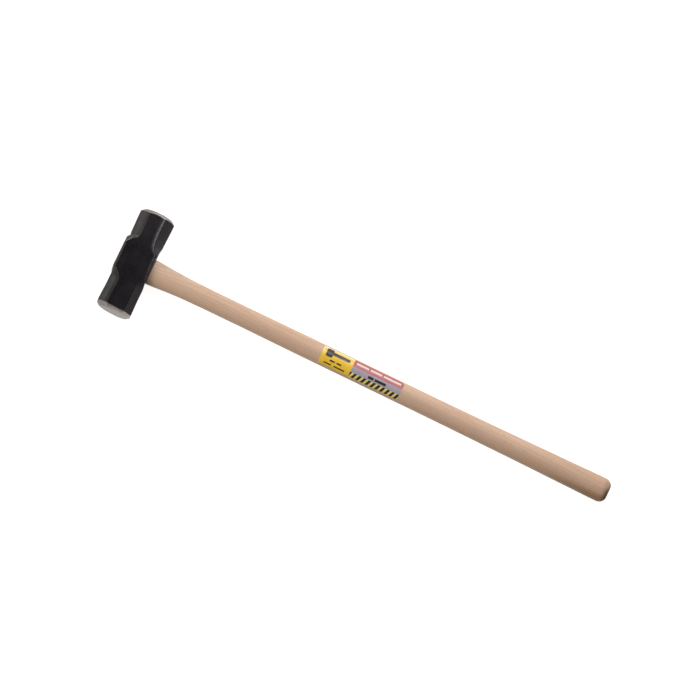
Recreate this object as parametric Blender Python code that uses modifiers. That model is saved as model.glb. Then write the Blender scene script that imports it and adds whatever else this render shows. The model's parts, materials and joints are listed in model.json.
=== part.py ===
"""A long-handled, double-faced sledge hammer, lying on its side as it rests on a floor.

Metres, +Z up. The pieces are laid out in the tool's own frame: X runs along the handle,
from the head to the butt, with 0 on the long axis of the head; Y runs along the head;
Z runs through its two cheeks. One empty carries every piece and lays the tool down, so
that a cheek edge of the head and the butt of the handle both touch the floor.
"""

import math

import bmesh
import bpy
from mathutils import Vector

# ---- Head ------------------------------------------------------------------
HEAD_LENGTH = 0.1844  # from one striking face to the other
HEAD_OFFSET = 0.0013  # the eye sits this far below the middle of the head
HEAD_DEPTH = 0.0606  # across the cheeks, the same all along
END_NECK = {"crown": 0.0299, "handle": 0.0303}  # reach of the octagonal ends by the block
END_FACE = {"crown": 0.0307, "handle": 0.0310}  # and at the faces, where they flare a little
FLARE_FROM, FLARE_TO = 0.048, 0.080  # where that flare starts and ends, from the eye
BOSS_HALF = 0.0328  # the eye block stands proud on the crown side
SHOULDER_HALF = 0.0287  # and is set back on the handle side
BOSS_STEP = {+1: (0.0335, 0.0405), -1: (0.0185, 0.0290)}  # its two steps, by end
SHOULDER_STEP = {+1: (0.0290, 0.0520), -1: (0.0240, 0.0480)}
CROWN_DIP = 0.0013  # a shallow forged dip beside the boss, on the +Y end

# Chamfer legs of the octagonal ends: (crown or handle side, upper or lower cheek).
CHAMFER = {
    +1: {
        ("crown", +1): 0.0165,
        ("handle", +1): 0.0187,
        ("crown", -1): 0.0176,
        ("handle", -1): 0.0176,
    },
    -1: {
        ("crown", +1): 0.0158,
        ("handle", +1): 0.0125,
        ("crown", -1): 0.0150,
        ("handle", -1): 0.0140,
    },
}
# Below 1, a chamfer is turned a little towards its cheek.
CHAMFER_LEAN = {+1: {}, -1: {("handle", +1): 0.88}}
BLOCK_CHAMFER = {"crown": 0.0030, "handle": 0.0044}  # the softened corners of the eye block
RUN_OUT = {+1: (0.0232, 0.0505), -1: (0.0215, 0.0405)}  # where block turns into octagon
RUN_OUT_LEAN = 0.72  # under 1, the turn is steeper near the block
END_ROUND, BLOCK_ROUND = 0.0016, 0.0068  # radii where the flats meet

# The two faces are turned: a flat middle, a slight crown and a ground bevel.
FACE_FLAT, FACE_EDGE, FACE_CROWN = 0.0120, 0.0230, 0.0012
BEVEL_SLOPE, BEVEL_CURVE = 0.45, 33.0  # the bevel falls by slope * d + curve * d * d
GRIND_SHIFT = {+1: 0.0, -1: 0.0003}  # the -Y face is ground a little off centre
GRIND_TILT = {+1: 0.0, -1: 0.028}  # and a little out of square, in radians

# ---- Eye: a waisted oval, right through the head along X -------------------
EYE_CROWN = (0.0190, 0.0140)  # half length and half width at the crown
EYE_WAIST = (0.0172, 0.0118)
EYE_MOUTH = (0.0184, 0.0130)  # at the handle side
EYE_WAIST_AT = 0.006
EYE_POWER = 2.3  # 2 is an ellipse, more is squarer
GAP = 0.00035  # between touching pieces

# ---- Handle ----------------------------------------------------------------
HANDLE_END = 0.8808  # the butt, from the long axis of the head
TENON_TOP = -0.0324
SHOULDER_AT = SHOULDER_HALF + GAP
# Distance from the head's axis, height along Y, depth along Z.
STATIONS = (
    (SHOULDER_AT, 0.0446, 0.0336),
    (0.0370, 0.0435, 0.0330),
    (0.0600, 0.0401, 0.0312),
    (0.0970, 0.0363, 0.0294),
    (0.1500, 0.0350, 0.0289),
    (0.2000, 0.0349, 0.0290),
    (0.3300, 0.0359, 0.0299),
    (0.5300, 0.0361, 0.0303),
    (0.7000, 0.0381, 0.0324),
    (0.8000, 0.0403, 0.0345),
    (0.8668, 0.0418, 0.0360),
)
HANDLE_POWER = 2.12
SHOULDER_ROUND = 0.0012
BUTT_LENGTH = 0.0140  # the rounding of the butt, along the handle
BUTT_FALL_Y, BUTT_FALL_Z = 0.0120, 0.0128  # and how far it draws in

# ---- Kerf and wedges -------------------------------------------------------
KERF_DEPTH, KERF_TOP, KERF_FOOT = 0.0480, 0.0034, 0.0009  # half thicknesses
WEDGE_DEPTH, WEDGE_TOP, WEDGE_TIP = 0.0445, 0.0030, 0.0005
WEDGE_HALF_WIDTH = 0.0160
STEEL_AT = (0.0070, -0.0070)  # places of the two steel wedges along Y
STEEL_DEPTH, STEEL_TOP, STEEL_TIP = 0.0280, 0.0023, 0.0005
STEEL_HALF_WIDTH = 0.0085
STEEL_STEPS = 4  # barbs down each side

# ---- Label -----------------------------------------------------------------
LABEL_FROM, LABEL_LENGTH = 0.3461, 0.1480
LABEL_HALF_ANGLE = math.radians(56.0)
LABEL_THICKNESS, LABEL_CORNER = 0.0003, 0.0045

AROUND = 24  # sides of the handle and the eye
TURNED = 48  # sides of the turned faces


# ---- Helpers ---------------------------------------------------------------
def smooth(value, start, end, lean=1.0):
    """0 before start, 1 after end, and an S-curve between them, steeper near the start
    where lean is under 1."""
    t = min(max((value - start) / (end - start), 0.0), 1.0) ** lean
    return t * t * (3.0 - 2.0 * t)


def mix(a, b, t):
    return a + (b - a) * t


def curve_through(stations, column, x):
    """A smooth value at x through the stations, which never overshoots them."""
    xs = [s[0] for s in stations]
    ys = [s[column] for s in stations]
    slopes = [(ys[i + 1] - ys[i]) / (xs[i + 1] - xs[i]) for i in range(len(xs) - 1)]
    tangents = [slopes[0] * 0.5]
    for a, b in zip(slopes, slopes[1:]):
        tangents.append(0.0 if a * b <= 0.0 else 2.0 * a * b / (a + b))
    tangents.append(slopes[-1] * 0.4)
    x = min(max(x, xs[0]), xs[-1])
    i = max(k for k in range(len(xs) - 1) if xs[k] <= x)
    step = xs[i + 1] - xs[i]
    t = (x - xs[i]) / step
    return (
        (2 * t**3 - 3 * t**2 + 1) * ys[i]
        + (t**3 - 2 * t**2 + t) * step * tangents[i]
        + (-2 * t**3 + 3 * t**2) * ys[i + 1]
        + (t**3 - t**2) * step * tangents[i + 1]
    )


def oval(half_y, half_z, angle, power):
    """A point of a superellipse in the YZ plane."""
    c, s = math.cos(angle), math.sin(angle)
    return (
        half_y * math.copysign(abs(c) ** (2.0 / power), c),
        half_z * math.copysign(abs(s) ** (2.0 / power), s),
    )


def rounded(corners, radius, count):
    """The closed outline with each corner turned into count points on an arc."""
    out = []
    total = len(corners)
    for i, corner in enumerate(corners):
        here = Vector(corner)
        before = Vector(corners[i - 1]) - here
        after = Vector(corners[(i + 1) % total]) - here
        half = before.angle(after) / 2.0
        reach = min(
            radius / math.tan(half), 0.48 * before.length, 0.48 * after.length
        )
        a, b = here + before.normalized() * reach, here + after.normalized() * reach
        for k in range(count):
            t = k / (count - 1)
            out.append((1 - t) ** 2 * a + 2 * t * (1 - t) * here + t * t * b)
    return out


def new_object(name, mesh, collection):
    ob = bpy.data.objects.new(name, mesh)
    collection.objects.link(ob)
    ob.parent = ROOT
    return ob


def loft(name, rings, collection):
    """A closed body through rings of points, with a flat cap at each end."""
    bm = bmesh.new()
    rows = [[bm.verts.new(p) for p in ring] for ring in rings]
    count = len(rows[0])
    for low, high in zip(rows, rows[1:]):
        for i in range(count):
            j = (i + 1) % count
            bm.faces.new((low[i], low[j], high[j], high[i]))
    bm.faces.new(rows[0][::-1])
    bm.faces.new(rows[-1])
    bmesh.ops.recalc_face_normals(bm, faces=bm.faces)
    mesh = bpy.data.meshes.new(name)
    bm.to_mesh(mesh)
    bm.free()
    return new_object(name, mesh, collection)


def outline_body(name, points, half_thickness, collection, across="Z"):
    """A flat outline in the XY plane thickened along Z, or stood up in XZ and thickened
    along Y."""
    curve = bpy.data.curves.new(name, "CURVE")
    curve.dimensions = "2D"
    curve.fill_mode = "BOTH"
    curve.extrude = half_thickness
    spline = curve.splines.new("POLY")
    spline.points.add(len(points) - 1)
    for point, (x, y) in zip(spline.points, points):
        point.co = (x, y, 0.0, 1.0)
    spline.use_cyclic_u = True
    temp = bpy.data.objects.new(name + "_outline", curve)
    bpy.context.scene.collection.objects.link(temp)
    bpy.context.view_layer.update()
    graph = bpy.context.evaluated_depsgraph_get()
    mesh = bpy.data.meshes.new_from_object(temp.evaluated_get(graph), depsgraph=graph)
    mesh.name = name
    bpy.data.objects.remove(temp)
    bpy.data.curves.remove(curve)
    bm = bmesh.new()
    bm.from_mesh(mesh)
    bmesh.ops.remove_doubles(bm, verts=bm.verts, dist=0.00001)
    bmesh.ops.recalc_face_normals(bm, faces=bm.faces)
    bm.to_mesh(mesh)
    bm.free()
    ob = new_object(name, mesh, collection)
    if across == "Y":
        ob.rotation_euler = (math.pi / 2.0, 0.0, 0.0)
    return ob


def boolean(ob, cutter, operation="DIFFERENCE"):
    """One exact Boolean, kept on the object."""
    m = ob.modifiers.new(cutter.name, "BOOLEAN")
    m.operation = operation
    m.solver = "EXACT"
    m.object = cutter
    cutter.hide_render = True
    cutter.display_type = "WIRE"


def finish(ob, material, sharp_degrees=30.0):
    ob.data.materials.clear()
    ob.data.materials.append(material)
    ob.data.shade_smooth()
    ob.data.set_sharp_from_angle(angle=math.radians(sharp_degrees))


def material(name, colour, roughness, metallic=0.0):
    m = bpy.data.materials.new(name)
    m.use_nodes = True
    shader = m.node_tree.nodes["Principled BSDF"]
    shader.inputs["Base Color"].default_value = (*colour, 1.0)
    shader.inputs["Roughness"].default_value = roughness
    shader.inputs["Metallic"].default_value = metallic
    m.diffuse_color = (*colour, 1.0)
    return m


# ---- Shapes that several pieces share --------------------------------------
def head_ring(y):
    """The outline of the forging at y, measured from the eye: a square with four
    chamfers, large on the octagonal ends and small on the eye block."""
    end = 1 if y >= 0.0 else -1
    away = abs(y)
    flare = smooth(away, FLARE_FROM, FLARE_TO)
    side = {key: mix(END_NECK[key], END_FACE[key], flare) for key in END_NECK}
    crown = mix(BOSS_HALF, side["crown"], smooth(away, *BOSS_STEP[end]))
    if end > 0:
        crown -= CROWN_DIP * math.exp(-(((away - 0.0405) / 0.0035) ** 2))
    handle = mix(SHOULDER_HALF, side["handle"], smooth(away, *SHOULDER_STEP[end]))
    out = smooth(away, *RUN_OUT[end], RUN_OUT_LEAN)
    leg = {
        key: mix(BLOCK_CHAMFER[key[0]], full, out) for key, full in CHAMFER[end].items()
    }
    top = HEAD_DEPTH / 2.0
    corners = []
    for side_name, x, cheek in (
        ("handle", handle, +1),
        ("crown", -crown, +1),
        ("crown", -crown, -1),
        ("handle", handle, -1),
    ):
        c = leg[(side_name, cheek)]
        inward = -c if side_name == "handle" else c
        lean = mix(1.0, CHAMFER_LEAN[end].get((side_name, cheek), 1.0), out)
        on_side = (x, cheek * (top - c * lean))
        on_cheek = (x + inward, cheek * top)
        first = on_side if (side_name == "handle") == (cheek > 0) else on_cheek
        second = on_cheek if first is on_side else on_side
        corners += [first, second]
    ring = rounded(corners, mix(BLOCK_ROUND, END_ROUND, out), 3)
    return [(p.x, y, p.y) for p in ring]


def face_fall(r):
    """How far a striking face has fallen back at radius r."""
    if r <= FACE_FLAT:
        return 0.0
    if r <= FACE_EDGE:
        return FACE_CROWN * ((r - FACE_FLAT) / (FACE_EDGE - FACE_FLAT)) ** 2
    d = r - FACE_EDGE
    return FACE_CROWN + BEVEL_SLOPE * d + BEVEL_CURVE * d * d


def eye_half(x):
    """Half length and half width of the eye at x."""
    if x < EYE_WAIST_AT:
        t = (EYE_WAIST_AT - x) / (EYE_WAIST_AT + BOSS_HALF)
        far = EYE_CROWN
    else:
        t = (x - EYE_WAIST_AT) / (SHOULDER_HALF - EYE_WAIST_AT)
        far = EYE_MOUTH
    return tuple(mix(w, f, t * t) for w, f in zip(EYE_WAIST, far))


def eye_ring(x, shrink=0.0):
    a, b = eye_half(x)
    return [
        (x, *oval(a - shrink, b - shrink, 2 * math.pi * i / AROUND, EYE_POWER))
        for i in range(AROUND)
    ]


def handle_half(x):
    """Half height and half depth of the handle at x, with the rounding of the shoulder
    and of the butt."""
    y = curve_through(STATIONS, 1, x) / 2.0
    z = curve_through(STATIONS, 2, x) / 2.0
    start = HANDLE_END - BUTT_LENGTH
    if x > start:
        t = min((x - start) / BUTT_LENGTH, 1.0)
        drop = 1.0 - math.sqrt(max(1.0 - t * t, 0.0))
        y, z = y - BUTT_FALL_Y * drop, z - BUTT_FALL_Z * drop
    if x < SHOULDER_AT + SHOULDER_ROUND:
        t = 1.0 - max(x - SHOULDER_AT, 0.0) / SHOULDER_ROUND
        drop = SHOULDER_ROUND * (1.0 - math.sqrt(1.0 - t * t))
        y, z = y - drop, z - drop
    return y, z


def handle_ring(x, count=AROUND):
    a, b = handle_half(x)
    return [
        (x, *oval(a, b, 2 * math.pi * i / count, HANDLE_POWER)) for i in range(count)
    ]


# ---- Pieces ----------------------------------------------------------------
def make_head(parts, cutters):
    """The forging: a loft, turned faces at both ends, and the eye cut through it."""
    half = HEAD_LENGTH / 2.0
    ys = [half + HEAD_OFFSET + 0.004, 0.080, 0.066, 0.055]
    ys += [0.0500 - 0.0025 * i for i in range(13)]
    ys += [0.0095]
    rows = sorted(set([round(y, 6) for y in ys] + [round(-y, 6) for y in ys]))
    head = loft("head", [head_ring(y) for y in rows], parts)

    for end in (+1, -1):
        radii = [0.0, FACE_FLAT]
        radii += [FACE_FLAT + (FACE_EDGE - FACE_FLAT) * k / 3 for k in (1, 2, 3)]
        radii += [FACE_EDGE + 0.0026 * k for k in range(1, 6)]
        profile = [(r, -face_fall(r)) for r in radii]
        profile += [(0.050, -0.030), (0.050, -1.1 * HEAD_LENGTH), (0.0, -1.1 * HEAD_LENGTH)]
        mesh = bpy.data.meshes.new("turned_end")
        mesh.from_pydata(
            [(r, 0.0, z) for r, z in profile],
            [(i, i + 1) for i in range(len(profile) - 1)],
            [],
        )
        turned = new_object("turned_end_" + ("a" if end > 0 else "b"), mesh, cutters)
        screw = turned.modifiers.new("turn", "SCREW")
        screw.axis = "Z"
        screw.steps = screw.render_steps = TURNED
        screw.use_merge_vertices = True
        screw.merge_threshold = 0.00001
        turned.rotation_euler = (-end * math.pi / 2.0, 0.0, -GRIND_TILT[end])
        turned.location = (GRIND_SHIFT[end], HEAD_OFFSET + end * half, 0.0)
        boolean(head, turned, "INTERSECT")

    xs = [-0.042, -0.0345, -0.026, -0.018, -0.010, -0.002, 0.006, 0.014, 0.022, 0.0295, 0.036]
    eye = loft("eye", [eye_ring(x) for x in xs], cutters)
    boolean(head, eye)
    return head


def make_handle(parts):
    """One stick: the tenon in the eye, the shoulder under the head, the shaft, the butt."""
    rings = [
        eye_ring(x, GAP)
        for x in (TENON_TOP, -0.026, -0.018, -0.010, -0.002, 0.006, 0.014, 0.022)
    ]
    rings.append(eye_ring(SHOULDER_AT, GAP))  # the shoulder is a flat step out from here
    xs = [
        SHOULDER_AT + SHOULDER_ROUND * (1.0 - math.cos(math.radians(a)))
        for a in (0, 30, 60, 90)
    ]
    xs += [0.037, 0.045, 0.060, 0.075, 0.095, 0.120]
    xs += [0.150 + 0.0357 * i for i in range(20)]
    start = HANDLE_END - BUTT_LENGTH
    xs += [start - 0.014]
    xs += [start + BUTT_LENGTH * math.sin(math.radians(a)) for a in (0, 22, 40, 56, 70, 82, 90)]
    rings += [handle_ring(x) for x in xs]
    return loft("handle", rings, parts)


def taper(top_x, depth, top, tip):
    """The outline of a tapered slot or wedge, from its wide end at top_x."""
    return [
        (top_x, -top),
        (top_x + depth, -tip),
        (top_x + depth, tip),
        (top_x, top),
    ]


def steel_outline(centre):
    """A steel wedge seen along its width, with barbs stepped down both sides."""
    side = []
    for k in range(STEEL_STEPS):
        near, far = k / STEEL_STEPS, (k + 1) / STEEL_STEPS
        wide = mix(STEEL_TOP, STEEL_TIP, near)
        slim = mix(STEEL_TOP, STEEL_TIP, far) - (0.0004 if k < STEEL_STEPS - 1 else 0.0)
        side += [
            (TENON_TOP + STEEL_DEPTH * near, wide),
            (TENON_TOP + STEEL_DEPTH * far, slim),
        ]
    lower = [(x, centre - w) for x, w in side]
    upper = [(x, centre + w) for x, w in reversed(side)]
    return lower + upper


def make_wedges(parts, cutters, handle):
    kerf = outline_body(
        "kerf",
        taper(TENON_TOP - 0.010, KERF_DEPTH + 0.010, KERF_TOP + 0.0005, KERF_FOOT),
        0.030,
        cutters,
        "Y",
    )
    boolean(handle, kerf)
    wooden = outline_body(
        "wood_wedge",
        taper(TENON_TOP, WEDGE_DEPTH, WEDGE_TOP, WEDGE_TIP),
        WEDGE_HALF_WIDTH,
        parts,
        "Y",
    )
    steels = []
    for number, centre in enumerate(STEEL_AT, 1):
        slot = [
            (x, y + centre)
            for x, y in taper(
                TENON_TOP - 0.010,
                STEEL_DEPTH + 0.010 + GAP,
                STEEL_TOP + 0.0011,
                STEEL_TIP + GAP,
            )
        ]
        cutter = outline_body(
            f"steel_slot_{number}", slot, STEEL_HALF_WIDTH + GAP, cutters
        )
        boolean(handle, cutter)
        boolean(wooden, cutter)
        steels.append(
            outline_body(
                f"steel_wedge_{number}", steel_outline(centre), STEEL_HALF_WIDTH, parts
            )
        )
    return wooden, steels


def make_label(parts):
    """A thin printed label wrapped over the upper side of the handle: an open sheet on
    the surface of the wood, thickened outwards."""
    steps = [90.0 * k / 4 for k in range(5)]
    near = [LABEL_CORNER * (1.0 - math.cos(math.radians(a))) for a in steps]
    pull = [LABEL_CORNER * (1.0 - math.sin(math.radians(a))) for a in steps]
    xs = near + [LABEL_LENGTH / 2.0] + [LABEL_LENGTH - d for d in reversed(near)]
    pulls = pull + [0.0] + list(reversed(pull))
    across = 14
    bm = bmesh.new()
    rows = []
    for dx, narrow in zip(xs, pulls):
        x = LABEL_FROM + dx
        a, b = handle_half(x)
        reach = LABEL_HALF_ANGLE - narrow / (0.5 * (a + b))
        row = []
        for k in range(across + 1):
            angle = math.pi / 2.0 + mix(-reach, reach, k / across)
            y, z = oval(a + GAP, b + GAP, angle, HANDLE_POWER)
            row.append(bm.verts.new((x, y, z)))
        rows.append(row)
    for low, high in zip(rows, rows[1:]):
        for k in range(across):
            bm.faces.new((low[k], high[k], high[k + 1], low[k + 1]))
    bmesh.ops.recalc_face_normals(bm, faces=bm.faces)
    if sum(f.normal.z for f in bm.faces) < 0.0:
        bmesh.ops.reverse_faces(bm, faces=bm.faces)
    mesh = bpy.data.meshes.new("label")
    bm.to_mesh(mesh)
    bm.free()
    label = new_object("label", mesh, parts)
    thick = label.modifiers.new("thickness", "SOLIDIFY")
    thick.thickness = LABEL_THICKNESS
    thick.offset = 1.0
    thick.use_even_offset = False
    return label


def lay_down(parts):
    """Turns the tool about Y until the head and the butt touch the floor together, and
    moves it so that the origin is at the middle of its box, on the floor."""
    butt_x = HANDLE_END - BUTT_LENGTH
    drop = HEAD_DEPTH / 2.0 - handle_half(butt_x)[1]
    edge_x = SHOULDER_HALF - BLOCK_CHAMFER["handle"]
    ROOT.rotation_euler = (0.0, math.atan2(drop, butt_x - edge_x), 0.0)
    bpy.context.view_layer.update()
    graph = bpy.context.evaluated_depsgraph_get()
    points = []
    for ob in parts.objects:
        shown = ob.evaluated_get(graph)
        mesh = shown.to_mesh()
        points += [shown.matrix_world @ v.co for v in mesh.vertices]
        shown.to_mesh_clear()
    low = [min(p[k] for p in points) for k in range(3)]
    high = [max(p[k] for p in points) for k in range(3)]
    ROOT.location = (-(low[0] + high[0]) / 2.0, -(low[1] + high[1]) / 2.0, -low[2])
    bpy.context.view_layer.update()


# ---- Build -----------------------------------------------------------------
for old in list(bpy.data.objects):
    bpy.data.objects.remove(old, do_unlink=True)

PARTS = bpy.data.collections.new("sledge_hammer")
CUTTERS = bpy.data.collections.new("cutters")
bpy.context.scene.collection.children.link(PARTS)
bpy.context.scene.collection.children.link(CUTTERS)
ROOT = bpy.data.objects.new("tool_frame", None)
ROOT.empty_display_size = 0.05
bpy.context.scene.collection.objects.link(ROOT)

head = make_head(PARTS, CUTTERS)
handle = make_handle(PARTS)
wood_wedge, steel_wedges = make_wedges(PARTS, CUTTERS, handle)
label = make_label(PARTS)

finish(head, material("black_paint", (0.012, 0.011, 0.013), 0.42, 0.0))
finish(handle, material("pale_wood", (0.56, 0.37, 0.24), 0.55))
finish(wood_wedge, material("wedge_wood", (0.42, 0.27, 0.15), 0.60))
for wedge in steel_wedges:
    finish(wedge, material("wedge_steel", (0.42, 0.42, 0.43), 0.38, 1.0))
finish(label, material("printed_vinyl", (0.80, 0.45, 0.05), 0.35))

lay_down(PARTS)
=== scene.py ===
"""Looks for the long-handled sledge hammer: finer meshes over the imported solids, with
procedural materials, a pale floor, soft light and the camera.

Everything is worked out in the tool's own frame: X runs along the handle from the long
axis of the head to the butt, Y along the head, Z through its two cheeks. The frame comes
from the record's mounts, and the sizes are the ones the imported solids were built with.
"""

import json
import math

import bmesh
import bpy
from mathutils import Matrix, Vector, noise
from mathutils.geometry import delaunay_2d_cdt


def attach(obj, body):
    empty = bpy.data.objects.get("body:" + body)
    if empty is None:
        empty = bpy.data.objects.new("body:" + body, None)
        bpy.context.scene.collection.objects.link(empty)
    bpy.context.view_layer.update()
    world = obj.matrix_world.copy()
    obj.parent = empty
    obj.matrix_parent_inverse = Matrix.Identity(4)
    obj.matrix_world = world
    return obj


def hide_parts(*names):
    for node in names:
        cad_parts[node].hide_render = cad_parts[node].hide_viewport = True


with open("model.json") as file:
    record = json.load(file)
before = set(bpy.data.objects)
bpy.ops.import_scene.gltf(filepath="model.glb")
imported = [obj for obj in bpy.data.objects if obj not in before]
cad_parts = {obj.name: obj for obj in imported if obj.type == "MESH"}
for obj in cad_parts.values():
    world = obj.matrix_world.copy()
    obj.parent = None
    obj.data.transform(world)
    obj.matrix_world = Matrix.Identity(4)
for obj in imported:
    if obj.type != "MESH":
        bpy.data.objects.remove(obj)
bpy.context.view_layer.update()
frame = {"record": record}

# ---- Sizes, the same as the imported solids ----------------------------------
HEAD_LENGTH = 0.1844
HEAD_OFFSET = 0.0013
HEAD_DEPTH = 0.0606
END_NECK = {"crown": 0.0299, "handle": 0.0303}
END_FACE = {"crown": 0.0307, "handle": 0.0310}
FLARE_FROM, FLARE_TO = 0.048, 0.080
BOSS_HALF, SHOULDER_HALF = 0.0328, 0.0287
BOSS_STEP = {+1: (0.0335, 0.0405), -1: (0.0185, 0.0290)}
SHOULDER_STEP = {+1: (0.0345, 0.0455), -1: (0.0205, 0.0360)}  # crisper than the solid's
CROWN_DIP = 0.0013
CHAMFER = {
    +1: {
        ("crown", +1): 0.0165,
        ("handle", +1): 0.0187,
        ("crown", -1): 0.0176,
        ("handle", -1): 0.0176,
    },
    -1: {
        ("crown", +1): 0.0158,
        ("handle", +1): 0.0125,
        ("crown", -1): 0.0150,
        ("handle", -1): 0.0140,
    },
}
BLOCK_CHAMFER = {"crown": 0.0030, "handle": 0.0044}
RUN_OUT = {+1: (0.0232, 0.0505), -1: (0.0215, 0.0405)}
RUN_OUT_LEAN = 0.72
END_ROUND, BLOCK_ROUND = 0.0016, 0.0068
FACE_FLAT, FACE_EDGE, FACE_CROWN = 0.0120, 0.0230, 0.0012
BEVEL_SLOPE, BEVEL_CURVE = 0.45, 33.0
GRIND_SHIFT = {+1: 0.0, -1: 0.0003}
GRIND_TILT = {+1: 0.0, -1: 0.028}  # the lower end is ground a little out of square
GRIND_FOLLOW = {+1: 0.35, -1: 0.85}  # 0 is a true circle, 1 is parallel to the outline

EYE_CROWN, EYE_WAIST, EYE_MOUTH = (0.0190, 0.0140), (0.0172, 0.0118), (0.0184, 0.0130)
EYE_WAIST_AT, EYE_POWER = 0.006, 2.3
FIT = 0.00008  # what is left between wood and steel in the eye

HANDLE_END, TENON_TOP = 0.8808, -0.0324
SHOULDER_AT = SHOULDER_HALF + 0.00035
STATIONS = (
    (SHOULDER_AT, 0.0446, 0.0336),
    (0.0370, 0.0435, 0.0330),
    (0.0600, 0.0401, 0.0312),
    (0.0970, 0.0363, 0.0294),
    (0.1500, 0.0350, 0.0289),
    (0.2000, 0.0349, 0.0290),
    (0.3300, 0.0359, 0.0299),
    (0.5300, 0.0361, 0.0303),
    (0.7000, 0.0381, 0.0324),
    (0.8000, 0.0403, 0.0345),
    (0.8668, 0.0418, 0.0360),
)
HANDLE_POWER = 2.12
SHOULDER_ROUND = 0.0012
BUTT_LENGTH, BUTT_FALL_Y, BUTT_FALL_Z = 0.0140, 0.0120, 0.0128

KERF_DEPTH, KERF_TOP, KERF_FOOT = 0.0480, 0.0031, 0.0006
WEDGE_DEPTH, WEDGE_TOP, WEDGE_TIP = 0.0445, 0.0030, 0.0005
WEDGE_HALF_WIDTH = 0.0160
STEEL_AT = (0.0070, -0.0070)
STEEL_DEPTH, STEEL_TOP, STEEL_TIP = 0.0280, 0.0023, 0.0005
STEEL_HALF_WIDTH, STEEL_STEPS = 0.0085, 4

LABEL_FROM, LABEL_LENGTH = 0.3461, 0.1480
LABEL_HALF_ANGLE = math.radians(56.0)
LABEL_CORNER = 0.0045
LABEL_ARC = 33.0  # millimetres round the handle that the label covers

# ---- The tool's frame, from the record's mounts ----------------------------
MOUNTS = {m["name"]: m for m in frame["record"]["mounts"]}
_face = Vector(MOUNTS["strike_face_a"]["pos_m"])
_y = Vector(MOUNTS["strike_face_a"]["axis"]).normalized()
_z = -Vector(MOUNTS["cheek_face"]["axis"]).normalized()
_x = _y.cross(_z).normalized()
_z = _x.cross(_y).normalized()
_origin = _face - _y * (HEAD_OFFSET + HEAD_LENGTH / 2.0)
TOOL = Matrix.Translation(_origin) @ Matrix((_x, _y, _z)).transposed().to_4x4()


# ---- Small helpers ---------------------------------------------------------
def smooth(value, start, end, lean=1.0):
    t = min(max((value - start) / (end - start), 0.0), 1.0) ** lean
    return t * t * (3.0 - 2.0 * t)


def mix(a, b, t):
    return a + (b - a) * t


def curve_through(stations, column, x):
    xs = [s[0] for s in stations]
    ys = [s[column] for s in stations]
    slopes = [(ys[i + 1] - ys[i]) / (xs[i + 1] - xs[i]) for i in range(len(xs) - 1)]
    tangents = [slopes[0] * 0.5]
    for a, b in zip(slopes, slopes[1:]):
        tangents.append(0.0 if a * b <= 0.0 else 2.0 * a * b / (a + b))
    tangents.append(slopes[-1] * 0.4)
    x = min(max(x, xs[0]), xs[-1])
    i = max(k for k in range(len(xs) - 1) if xs[k] <= x)
    step = xs[i + 1] - xs[i]
    t = (x - xs[i]) / step
    return (
        (2 * t**3 - 3 * t**2 + 1) * ys[i]
        + (t**3 - 2 * t**2 + t) * step * tangents[i]
        + (-2 * t**3 + 3 * t**2) * ys[i + 1]
        + (t**3 - t**2) * step * tangents[i + 1]
    )


def oval(half_y, half_z, angle, power):
    c, s = math.cos(angle), math.sin(angle)
    return (
        half_y * math.copysign(abs(c) ** (2.0 / power), c),
        half_z * math.copysign(abs(s) ** (2.0 / power), s),
    )


def bend(a, mid, b, t):
    """A point of the quadratic curve from a to b that turns at mid."""
    return (1 - t) ** 2 * a + 2 * t * (1 - t) * mid + t * t * b


def link(ob):
    bpy.context.scene.collection.objects.link(ob)
    return ob


def mesh_object(name, bm):
    bmesh.ops.recalc_face_normals(bm, faces=bm.faces)
    mesh = bpy.data.meshes.new(name)
    bm.to_mesh(mesh)
    bm.free()
    return link(bpy.data.objects.new(name, mesh))


def apply_modifiers(ob):
    """The object's mesh as its modifiers leave it, with the modifiers gone."""
    bpy.context.view_layer.update()
    graph = bpy.context.evaluated_depsgraph_get()
    mesh = bpy.data.meshes.new_from_object(
        ob.evaluated_get(graph), preserve_all_data_layers=True, depsgraph=graph
    )
    mesh.name = ob.name
    old = ob.data
    ob.modifiers.clear()
    ob.data = mesh
    bpy.data.meshes.remove(old)


def cut(ob, cutters):
    for cutter in cutters:
        m = ob.modifiers.new("cut", "BOOLEAN")
        m.operation = "DIFFERENCE"
        m.solver = "EXACT"
        m.object = cutter
    apply_modifiers(ob)
    for cutter in cutters:
        bpy.data.objects.remove(cutter)


def loft(name, rings):
    bm = bmesh.new()
    rows = [[bm.verts.new(p) for p in ring] for ring in rings]
    count = len(rows[0])
    for low, high in zip(rows, rows[1:]):
        for i in range(count):
            j = (i + 1) % count
            bm.faces.new((low[i], low[j], high[j], high[i]))
    bm.faces.new(rows[0][::-1])
    bm.faces.new(rows[-1])
    return mesh_object(name, bm)


def block(name, outline, half, across="Z"):
    """An outline in the XY plane thickened along Z, or in the XZ plane along Y."""
    def at(p, h):
        return (p[0], p[1], h) if across == "Z" else (p[0], h, p[1])

    bm = bmesh.new()
    low = [bm.verts.new(at(p, -half)) for p in outline]
    high = [bm.verts.new(at(p, half)) for p in outline]
    count = len(outline)
    for i in range(count):
        j = (i + 1) % count
        bm.faces.new((low[i], low[j], high[j], high[i]))
    bm.faces.new(low[::-1])
    bm.faces.new(high)
    return mesh_object(name, bm)


def place(ob, node, sharp=40.0):
    """Puts a mesh made in the tool's frame where the CAD has it, in the CAD node's stead."""
    ob.data.transform(TOOL)
    ob.data.shade_smooth()
    ob.data.set_sharp_from_angle(angle=math.radians(sharp))
    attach(ob, "root")
    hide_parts(node)
    return ob


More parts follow.
